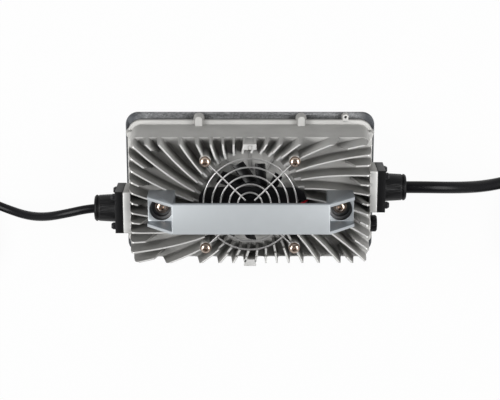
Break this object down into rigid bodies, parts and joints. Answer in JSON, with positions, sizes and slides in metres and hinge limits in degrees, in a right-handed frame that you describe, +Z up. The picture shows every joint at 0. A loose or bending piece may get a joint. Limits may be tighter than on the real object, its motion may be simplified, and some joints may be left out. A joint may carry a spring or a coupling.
{
  "type": "fan cooled battery charger",
  "caption": "Sealed battery charger: finned cast case with a fan well and wire guard, bar handle, sheet base, and mains and battery leads through glands",
  "frame": {"origin": "middle of the underside of the base plate", "axes": "Z is up, out of the cooling fins; X runs along the long side, with the mains lead at -X and the battery lead at +X; Y runs across the short side"},
  "size_m": [0.6905, 0.1574, 0.1146],
  "materials": {
    "cast_aluminium": "blasted die casting with a thin light grey coat",
    "zinc_sheet": "zinc coated sheet, speckled",
    "handle_aluminium": "satin blasted and clear anodised",
    "black_plastic": "moulded, fine grained",
    "black_rubber": "matt",
    "lead_sheath": "satin sheath",
    "nickel_screw": "bright nickel",
    "black_screw": "black zinc",
    "guard_wire": "bright plated wire",
    "fan_black": "moulded",
    "magnet": "bonded ferrite",
    "motor_steel": "laminated",
    "bearing_bronze": "sintered",
    "red_wire": "insulation",
    "black_wire": "insulation",
    "circuit_board": "solder mask",
    "ferrite": "sintered",
    "copper_winding": "enamelled",
    "capacitor_can": "sleeved can",
    "device_black": "moulded",
    "plain_aluminium": "mill finish",
    "brass": "bright",
    "plated_contact": "plated",
    "fuse_glass": "clear",
    "relay_plastic": "moulded",
    "terminal_green": "moulded"
  },
  "bodies": {
    "case": {"housing": "cast_aluminium", "base_plate": "zinc_sheet", "base_gasket": "black_rubber", "base_screws": "nickel_screw", "fan_guard": "guard_wire", "guard_screws": "nickel_screw", "guard_washers": "nickel_screw", "fan_bar": "fan_black", "fan_bar_screws": "black_screw", "fan_bearing": "bearing_bronze", "fan_stator": "motor_steel", "fan_wire_red": "red_wire", "fan_wire_black": "black_wire", "wire_grommet": "black_rubber", "handle": "handle_aluminium", "handle_screws": "nickel_screw", "handle_washers": "nickel_screw", "handle_spring_washers": "nickel_screw", "ac_gland_body": "black_plastic", "ac_gland_gasket": "black_rubber", "ac_gland_seal": "black_rubber", "ac_gland_screws": "black_screw", "dc_gland_body": "black_plastic", "dc_gland_gasket": "black_rubber", "dc_gland_seal": "black_rubber", "dc_gland_screws": "black_screw", "breather_vent": "black_plastic", "breather_nut": "black_plastic", "main_board": "circuit_board", "board_standoffs": "brass", "board_screws": "nickel_screw", "transformer_core": "ferrite", "transformer_winding": "copper_winding", "bulk_capacitors": "capacitor_can", "input_choke": "copper_winding", "output_choke": "copper_winding", "relay": "relay_plastic", "fuse": "fuse_glass", "control_board": "circuit_board", "output_terminals": "terminal_green", "heat_spreader": "plain_aluminium", "power_devices": "device_black", "device_clamp": "plain_aluminium", "ac_cord": "lead_sheath", "ac_cord_coil": "lead_sheath", "ac_cord_tail": "lead_sheath", "ac_plug": "black_plastic", "ac_plug_pins": "plated_contact", "ac_plug_earth": "plated_contact", "dc_cord": "lead_sheath", "dc_cord_coil": "lead_sheath", "dc_cord_tail": "lead_sheath", "dc_connector": "black_plastic", "dc_contacts": "plated_contact"},
    "impeller": {"fan_impeller": "fan_black", "fan_magnet": "magnet", "fan_shaft": "motor_steel"}
  },
  "joints": [
    {"name": "fan_spin", "type": "hinge", "parent": "case", "child": "impeller", "pos_m": [0, 0, 0.057], "axis": [0, 0, 1], "continuous": true}
  ]
}
